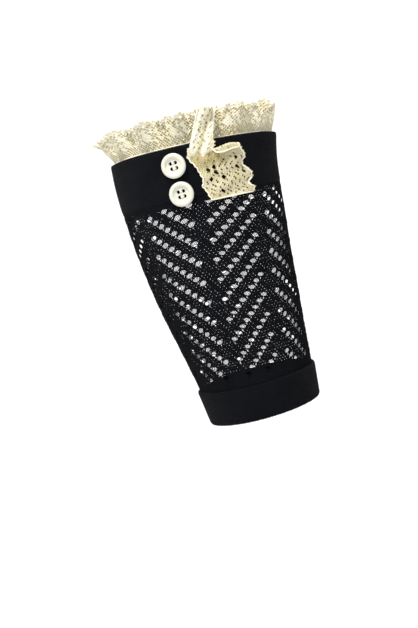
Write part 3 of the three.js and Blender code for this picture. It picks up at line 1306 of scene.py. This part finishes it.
@dataclass
class TabStretch:
    """One stretch of the tab: its outline, its chart and where it begins and ends."""

    name: str
    replaced: str
    outline: tuple[TabRow, ...]
    chart: tuple[str, ...]
    start: float
    end: float
    flat: tuple[float, float]
    rests_on: tuple[str, ...]
    relief: float = 0.3
    picot: float = 0.8
    picot_pitch: float = 3.1
    gap_growth: float = 0.7
    edge_yarn: float = 0.45
    edge_in: float = 0.4
    edge_smoothing: float = 0.25

    def edges(self, down: Array) -> tuple[Array, Array]:
        """Both edges, with small loops of thread along them.

        Args:
            down: Distance below the cuff's edge.

        Returns:
            Degrees around of the left and the right edge.
        """
        downs = np.array([row.down for row in self.outline])
        at = np.clip(down, downs[0], downs[-1])
        left = smooth_curve(downs, np.array([row.left for row in self.outline]), at)
        right = smooth_curve(downs, np.array([row.right for row in self.outline]), at)
        picot = self.picot * np.abs(np.sin(math.pi * down / self.picot_pitch))
        return left - picot, right + picot

    def build(
        self,
        place: Callable[[Array, Array, Array, Array], Array],
        painted_shade: PaintedShadeMap,
        material: Material,
    ) -> list[Piece]:
        """Makes the stretch as a modelled net of lace, with a yarn along its edges.

        Args:
            place: Gives points for degrees around, distance down, height and share of the width.
            painted_shade: Gives the shade of folds for degrees around and distance down.
            material: Its finish.

        Returns:
            The stretch and its edging.
        """
        centres, stitches = chart_cells(self.chart, 1)
        rows, wide = len(self.chart), 2 * len(self.chart[0]) - 1
        grow = {tuple(c) for c, s in zip(centres.tolist(), stitches) if s is Work.GAP.value}

        def spot(half_column: Array, row: Array) -> tuple[Array, Array, Array]:
            """Where a place of the chart lies on the tube.

            Args:
                half_column: Half columns of the chart.
                row: Rows of the chart.

            Returns:
                Degrees around, distance down and share of the width.
            """
            down = self.start + (row + 1) / (rows + 1) * (self.end - self.start)
            left, right = self.edges(down)
            share = (half_column + 1) / (wide + 1)
            return left + (right - left) * share, down, share

        def surface(half_column: Array, row: Array, out: Array) -> Array:
            """Points by half column and row of the chart."""
            around, down, share = spot(half_column, row)
            return place(around, down, out, share)

        def shade(half_column: Array, row: Array) -> Array:
            """The shade of folds by half column and row."""
            around, down, _ = spot(half_column, row)
            return painted_shade(around, down)

        def shift(nodes: Array) -> Array:
            """Pushes the corners and sides of large gaps outwards.

            Args:
                nodes: Half columns and rows of all corners and sides.

            Returns:
                One move for each.
            """
            moves = np.zeros(nodes.shape)
            for i, node in enumerate(nodes):
                for step in CELL_STEPS / 2:
                    if tuple(node + step) in grow:
                        moves[i] -= step * self.gap_growth
            return moves

        net = lace_net(centres, stitches, shift=shift)
        data = net.build(surface, self.relief, shade)
        side = np.linspace(-0.5, rows - 0.5, 3 * rows)
        end = np.linspace(0.0, wide - 0.5, 2 * wide)
        left, right = np.full(len(side), -self.edge_in), np.full(len(side), wide - self.edge_in)
        across = np.concatenate([left, end, right, end[::-1]])
        down = np.concatenate([side, np.full(len(end), rows - 0.5), side[::-1], np.full(len(end), -0.5)])
        path = surface(across, down, np.zeros(len(across)))
        bend = np.roll(path, 1, axis=0) + np.roll(path, -1, axis=0) - 2 * path
        path = path + self.edge_smoothing * bend
        yarns = MeshData()
        yarns.add(*yarn(path, self.edge_yarn, closed=True))
        edging = finish_piece(yarns.build(f"{self.name}_edging", material), Slot.LACE)
        piece = finish_piece(data.build(self.name, material), Slot.LACE, self.replaced)
        resting = list(self.rests_on)
        log.info("%s: %d cells", self.name, len(centres))
        return [piece, edging]


@dataclass
class LaceTab:
    """The loose end of the lace: it hangs over the frill and folds so that its end lies on the cuff."""

    frill: LaceFrill
    lift: float = 0.85
    over: float = 1.1
    frill_lift: float = 2.6
    sink_from: float = 5.0
    sink_to: float = 9.5
    creases: Ripple = Ripple(0.65, 1.5 * math.tau, 0.12)
    buckles: Ripple = Ripple(0.25, 17, 0.3)
    fall_shade: float = 0.1
    crease_shade: float = 0.5
    fold_start: float = 7.5
    roll: float = 1.3
    roll_from: float = 9.0
    roll_to: float = 14.0
    roll_widest: float = 21.5
    roll_spread: float = 7.0
    roll_share: float = 0.55
    fold_arch: float = 1.9
    fold_middle: float = 23.0
    fold_spread: float = 7.0
    flat_share: float = 0.5
    billow_around: Ripple = Ripple(0.7, 0.28, shift=0.5)
    billow_down: Ripple = Ripple(1.0, 0.2, shift=-1.0)
    billow_small: Ripple = Ripple(0.35, 0.2, 0.6)
    billow_lowest: float = -0.4
    billow_from: float = 8.0
    billow_to: float = 12.0
    lie_shade: float = 0.5
    under_shade: float = 0.4
    under_middle: float = 11.5
    under_spread: float = 5.5
    under_from: float = 14.0
    under_to: float = 27.0
    fall: TabStretch = field(
        default_factory=lambda: TabStretch(
            name="lace_tab_fall",
            replaced="lace_tab_upper",
            outline=(
                TabRow(-19.4, 5.0, 14.9),
                TabRow(-15.5, 3.9, 14.6),
                TabRow(-9.3, 1.9, 13.6),
                TabRow(-3.1, -0.2, 12.6),
                TabRow(0.0, -1.2, 12.4),
                TabRow(3.0, -2.3, 12.8),
                TabRow(6.4, -3.9, 11.6),
                TabRow(9.5, -3.2, 9.5),
            ),
            chart=FALL_CHART,
            start=-19.4,
            end=9.5,
            flat=(0.0125, 0.029),
            relief=0.22,
            picot=0.35,
            rests_on=("lace_frill", "top_cuff"),
        )
    )
    lie: TabStretch = field(
        default_factory=lambda: TabStretch(
            name="lace_tab_end",
            replaced="lace_tab_lower",
            outline=(
                TabRow(5.9, -3.5, 28.6),
                TabRow(7.6, -4.3, 30.6),
                TabRow(10.5, -2.7, 32.4),
                TabRow(13.4, -0.4, 33.6),
                TabRow(16.4, 1.3, 31.0),
                TabRow(19.0, 2.2, 32.4),
                TabRow(22.6, 3.5, 36.4),
                TabRow(26.5, 2.4, 37.2),
                TabRow(29.5, 4.2, 33.6),
                TabRow(33.0, 5.4, 37.6),
                TabRow(36.0, 6.8, 36.0),
            ),
            chart=END_CHART,
            start=-1.6,
            end=36.0,
            flat=(0.0305, 0.0376),
            rests_on=("top_cuff",),
        )
    )

    def place_fall(self, around: Array, down: Array, out: Array, share: Array) -> Array:
        """Points of the stretch that hangs over the frill and sinks into the fold at its lower end.

        Args:
            around: Degrees around.
            down: Distance below the cuff's edge.
            out: Height above the cloth's middle.
            share: Share of the width from the left edge.

        Returns:
            One row of x, y and z for each point.
        """
        buckle = self.creases.at(share, down) + self.buckles.at(share, down)
        sunk = (self.over + self.lift) * smooth_step(self.sink_from, self.sink_to, down)
        on_cuff = TUBE.points(down, around, self.lift + self.over - sunk + buckle + out)
        on_frill = self.frill.place(around, -down, self.frill_lift + buckle + out)
        on_frill_too = (down < 0)[..., None] & (on_frill[..., 1:2] < on_cuff[..., 1:2])
        return np.where(on_frill_too, on_frill, on_cuff)

    def place_lie(self, around: Array, down: Array, out: Array, share: Array) -> Array:
        """Points of the stretch on the cuff, whose free upper edge rolls forward and hangs down again.

        Args:
            around: Degrees around.
            down: Distance below the cuff's edge.
            out: Height above the cloth's middle.
            share: Share of the width from the left edge.

        Returns:
            One row of x, y and z for each point.
        """
        fold = self.fold_start - self.fold_arch * bell(around, self.fold_middle, self.fold_spread)
        spare = np.maximum(fold - down, 0)
        free = smooth_step(self.roll_from, self.roll_to, around)
        widest = bell(around, self.roll_widest, self.roll_spread)
        walked = spare * (self.roll_share + (1 - self.roll_share) * widest)
        half_turn = math.pi * self.roll
        angle = np.clip(walked / self.roll, 0, math.pi)
        hang = np.maximum(walked - half_turn, 0)
        # Where cloth turns over, its outer face looks back, so a thread's height counts the other way
        radius = self.roll - out
        rolled_down = fold - radius * np.sin(angle) + hang
        rolled_out = self.lift + self.roll - radius * np.cos(angle)
        flat_down = fold - self.flat_share * spare
        billow = self.billow_around.at(around) * self.billow_down.at(down)
        billow = np.maximum(billow + self.billow_small.at(around, down), self.billow_lowest)
        body = self.lift + out + billow * smooth_step(self.billow_from, self.billow_to, down)
        low = np.where(spare > 0, flat_down + (rolled_down - flat_down) * free, down)
        stand = np.where(spare > 0, self.lift + out + (rolled_out - self.lift - out) * free, body)
        return TUBE.points(low, around, stand)

    def shade_fall(self, around: Array, down: Array) -> Array:
        """Painted shade in the two creases that run down the hanging stretch, over a little painted shade all
        over it.

        Args:
            around: Degrees around.
            down: Distance below the cuff's edge.

        Returns:
            The shade, from 0 to 1.
        """
        left, right = self.fall.edges(down)
        crease = self.creases.at((around - left) / (right - left), down) / self.creases.height
        return self.fall_shade + self.crease_shade * np.clip(-crease, 0, 1) ** 2

    def shade_lie(self, around: Array, down: Array) -> Array:
        """Painted shade under the rolled edge and beside the fold, over even painted shade that makes the
        lace a little darker than the frill.

        Args:
            around: Degrees around.
            down: Distance below the cuff's edge.

        Returns:
            The shade, from 0 to 1.
        """
        under = bell(down, self.under_middle, self.under_spread)
        under = under * (1 - smooth_step(self.under_from, self.under_to, around))
        return self.lie_shade + self.under_shade * under * (down > self.fold_start)

    def build(self, material: Material) -> list[Piece]:
        """Both stretches of the tab, the lying one first, and their edgings."""
        lying = self.lie.build(self.place_lie, self.shade_lie, material)
        return lying + self.fall.build(self.place_fall, self.shade_fall, material)


@dataclass(frozen=True)
class ThreadBar:
    """A bar of thread: where its strands lie side by side, in strands, and how far in it starts and ends."""

    strands: tuple[float, ...]
    inset: float


@dataclass
class SewnButton:
    """A four-hole button with a raised rim and a sunken middle, and the thread that holds it."""

    name: str
    replaced: str
    down: float
    around: float
    stand: float = 0.3
    turn: float = 3.0
    sides: int = 96
    sharp_from: float = 35.0
    hole_radius: float = 1.05
    hole_flare: float = 0.2
    hole_sides: int = 24
    hole_across: float = 3.1
    hole_up: float = 3.2
    thread_radius: float = 0.2
    thread_pitch: float = 0.34
    thread_foot: float = 0.3
    thread_rise: float = 1.74
    thread_crown: float = 0.06
    thread_roundness: float = 0.4
    thread_bars: tuple[ThreadBar, ThreadBar] = (
        ThreadBar((-1.0, 0.0, 1.0), 0.16),
        ThreadBar((-0.5, 0.5), 0.27),
    )
    profile: tuple[tuple[float, float], ...] = (
        (0.0, 0.0),
        (6.4, 0.0),
        (7.0, 0.15),
        (7.35, 0.5),
        (7.5, 1.1),
        (7.5, 1.9),
        (7.38, 2.35),
        (7.05, 2.7),
        (6.6, 2.92),
        (6.0, 3.0),
        (5.5, 2.96),
        (5.1, 2.75),
        (4.8, 2.35),
        (4.5, 1.9),
        (4.1, 1.7),
        (3.5, 1.62),
        (0.0, 1.6),
    )

    def frame(self) -> Matrix:
        """Finds where the button lies, its back just off the cuff and square to it.

        Returns:
            The matrix from the button to the model, in metres.
        """
        around = self.around + np.array([0, 1, -1, 0, 0])
        down = self.down + np.array([0, 0, 0, -1, 1])
        centre, right, left, above, below = (Vector(p) for p in TUBE.points(down, around, np.zeros(5)))
        across = (right - left).normalized()
        out = across.cross((above - below).normalized()).normalized()
        up = out.cross(across)
        basis = Matrix((across, up, out)).transposed().to_4x4()
        spin = Matrix.Rotation(math.radians(self.turn), 4, "Z")
        return Matrix.Translation((centre + out * self.stand) * MM) @ basis @ spin

    def holes(self) -> list[tuple[float, float]]:
        """The middles of the four holes, the lower pair first."""
        ends = (-self.hole_up / 2, self.hole_up / 2)
        return [(side * self.hole_across / 2, end) for end in ends for side in (-1, 1)]

    def turned(self, profile: tuple, sides: int, middle: tuple[float, float]) -> MeshData:
        """A closed solid of revolution.

        Args:
            profile: Radius and height of each ring, starting and ending on the axis.
            sides: Points around.
            middle: Where the axis stands.

        Returns:
            The mesh data.
        """
        turn = np.linspace(0, math.tau, sides, endpoint=False)
        rings = np.array(profile[1:-1])
        x = middle[0] + rings[:, :1] * np.cos(turn)
        y = middle[1] + rings[:, :1] * np.sin(turn)
        z = np.broadcast_to(rings[:, 1:], x.shape)
        data = MeshData()
        data.add(np.stack([x, y, z], axis=-1), grid_faces(len(rings), sides, True)[:, ::-1])
        data.faces.append(list(range(sides))[::-1])
        data.faces.append([(len(rings) - 1) * sides + i for i in range(sides)])
        return data

    def build(self, material: Material, thread: Material) -> list[Piece]:
        """Makes the button with its holes cut, and its thread.

        Args:
            material: The button's finish.
            thread: The thread's finish.

        Returns:
            The button and its thread.
        """
        blank = self.turned(self.profile, self.sides, (0.0, 0.0)).build(self.name, material)
        narrow, wide = self.hole_radius, self.hole_radius + self.hole_flare
        bore = ((0, -1), (wide, -1), (narrow, 0.3), (narrow, 1.4), (wide, 1.8), (0, 1.8))
        cutters = []
        for i, middle in enumerate(self.holes()):
            cutter = self.turned(bore, self.hole_sides, middle).build(f"{self.name}_cutter_{i}", material)
            cut = blank.modifiers.new(f"hole_{i}", "BOOLEAN")
            cut.object, cut.operation, cut.solver = cutter, "DIFFERENCE", "EXACT"
            cutters.append(cutter)
        shape = bpy.data.meshes.new_from_object(blank.evaluated_get(bpy.context.evaluated_depsgraph_get()))
        blank.modifiers.clear()
        blank.data = shape
        for cutter in cutters:
            bpy.data.objects.remove(cutter)
        shape.name = self.name
        shape.shade_smooth()
        shape.set_sharp_from_angle(angle=math.radians(self.sharp_from))
        place = self.frame()
        shape.transform(place)
        finish_piece(blank, Slot.BUTTON, self.replaced)
        threads = self.thread(thread)
        threads.data.transform(place)
        finish_piece(threads, Slot.LACE)
        log.info("%s: four holes and %s", self.name, threads.name)
        return [blank, threads]

    def thread(self, material: Material) -> Piece:
        """Makes two bars of thread that rise out of one hole and sink into the next, the lower one thicker.

        Args:
            material: The thread's finish.

        Returns:
            The thread.
        """
        data = MeshData()
        holes = np.array(self.holes())
        share = np.linspace(0, 1, 15)
        for (start, end), bar in zip((holes[:2], holes[2:]), self.thread_bars):
            way = bar.inset + (1 - 2 * bar.inset) * share[:, None]
            for strand in bar.strands:
                flat = start + (end - start) * way + [[0.0, strand * self.thread_pitch]]
                rise = self.thread_rise - self.thread_crown * abs(strand)
                height = self.thread_foot + rise * np.sin(share * math.pi) ** self.thread_roundness
                data.add(*yarn(np.column_stack([flat, height]), self.thread_radius, 8))
        return data.build(f"{self.name}_thread", material)


# Studio


@dataclass
class Studio:
    """The pale floor and backdrop, soft light and the camera at the viewing angle."""

    target: tuple[float, float, float] = (7.9, 0.0, -90.5)
    distance: float = 640.0
    elevation: float = 5.0
    lens: float = 56.0
    floor: float = -520.0
    front: float = -3000.0
    wall: float = 900.0
    height: float = 3500.0
    width: float = 6000.0
    bend: float = 500.0

    def camera(self) -> None:
        """The camera, level from side to side, a little above the piece."""
        data = bpy.data.cameras.new("camera")
        data.sensor_width = 36.0
        data.lens = self.lens
        data.clip_start, data.clip_end = 0.01, 50.0
        camera = bpy.data.objects.new("camera", data)
        bpy.context.scene.collection.objects.link(camera)
        angle = math.radians(self.elevation)
        back = Vector((0.0, -math.cos(angle), math.sin(angle)))
        camera.location = (Vector(self.target) + back * self.distance) * MM
        camera.rotation_mode = "QUATERNION"
        camera.rotation_quaternion = (-back).to_track_quat("-Z", "Y")
        bpy.context.scene.camera = camera

    def sweep(self) -> None:
        """A floor that curves up into a backdrop behind the piece."""
        turn = np.linspace(0, math.pi / 2, 17)
        y = np.concatenate([[self.front], self.wall - self.bend + self.bend * np.sin(turn), [self.wall]])
        z = np.concatenate([[0.0], self.bend - self.bend * np.cos(turn), [self.height]]) + self.floor
        x = np.array([-self.width / 2, self.width / 2])
        points = np.stack(np.broadcast_arrays(x[None], y[:, None], z[:, None]), axis=-1)
        data = MeshData()
        data.add(points, grid_faces(len(y), 2, False)[:, ::-1])
        data.build("studio_sweep", StudioPaper().make())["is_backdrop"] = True

    def light(
        self,
        name: str,
        place: tuple[float, float, float],
        size: float,
        power: float,
        aim: tuple[float, float, float] | None = None,
    ) -> None:
        """One square soft light.

        Args:
            name: Its name.
            place: Where it stands.
            size: The length of its sides.
            power: Its power in watts.
            aim: What it faces, the piece unless given.
        """
        data = bpy.data.lights.new(name, "AREA")
        data.size, data.energy = size * MM, power
        light = bpy.data.objects.new(name, data)
        bpy.context.scene.collection.objects.link(light)
        light.location = Vector(place) * MM
        light.rotation_mode = "QUATERNION"
        ahead = light.location - Vector(aim or self.target) * MM
        light.rotation_quaternion = ahead.to_track_quat("Z", "Y")

    def build(self) -> None:
        """Camera, sweep, lights and an even pale surround."""
        self.camera()
        self.sweep()
        self.light("key", place=(-450.0, -700.0, 900.0), size=300.0, power=15.8)
        self.light("fill", place=(900.0, -900.0, 100.0), size=900.0, power=1.5)
        behind = (0.0, 900.0, -100.0)
        self.light("backdrop", place=(0.0, 250.0, 1300.0), size=900.0, power=5.5, aim=behind)
        world = bpy.data.worlds.new("soft_surround")
        world.use_nodes = True
        background = world.node_tree.nodes["Background"]
        background.inputs["Color"].default_value = (1.0, 1.0, 1.0, 1.0)
        background.inputs["Strength"].default_value = 0.6
        bpy.context.scene.world = world
        # Plain colours, so that hex values come out as they are named
        bpy.context.scene.view_settings.view_transform = "Standard"


def write_sizes() -> None:
    """Gathers the solids' box and the dressed model's box, in metres."""
    boxes = {"cad": cad_box, "visual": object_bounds()}
    plain = {name: [[float(v) for v in corner] for corner in box] for name, box in boxes.items()}


def main() -> None:
    """Builds the studio and each sub-assembly in order, and reports the pieces."""
    logging.basicConfig(level=logging.INFO, format="%(message)s")
    Studio().build()
    jersey = BlackCotton("fine_jersey_cotton").make()
    lace = UnbleachedCotton().make()
    pieces = PointelleNet().build()
    cuff = KnitBand(
        name="plain_cuff",
        replaced="top_cuff",
        corners=(
            (0.4, -0.4),
            (1.3, 0.0),
            (29.5, 0.0),
            (32.2, -0.3),
            (32.2, -1.2),
            (1.3, -2.2),
            (0.2, -1.6),
        ),
        edge=0.0,
        flat=(0.33, 0.032),
    )
    hem = KnitBand(
        name="turned_hem",
        replaced="bottom_hem",
        corners=(
            (152.8, 0.1),
            (153.3, 1.1),
            (154.6, 1.5),
            (160.0, 1.3),
            (174.0, 0.9),
            (175.0, 0.1),
            (174.8, -0.9),
            (153.0, -1.3),
        ),
        edge=175.2,
        flat=(0.235, 0.023),
    )
    pieces += [cuff.build(jersey), hem.build(jersey)]
    frill = LaceFrill()
    pieces += frill.build(lace)
    pieces += LaceTab(frill).build(lace)
    resin = PolyesterResin().make()
    white = UnbleachedCotton("white_sewing_cotton", pale=0xFCFBF6, warm=0xF0EDE2).make()
    pieces += SewnButton("resin_button_upper", "button_upper", 10.9, -13.4).build(resin, white)
    pieces += SewnButton("resin_button_lower", "button_lower", 28.1, -11.8).build(resin, white)
    for piece in pieces:
        piece.data.calc_loop_triangles()
        log.info("%s: %d triangles", piece.name, len(piece.data.loop_triangles))
    write_sizes()


if __name__ == "__main__":
    main()
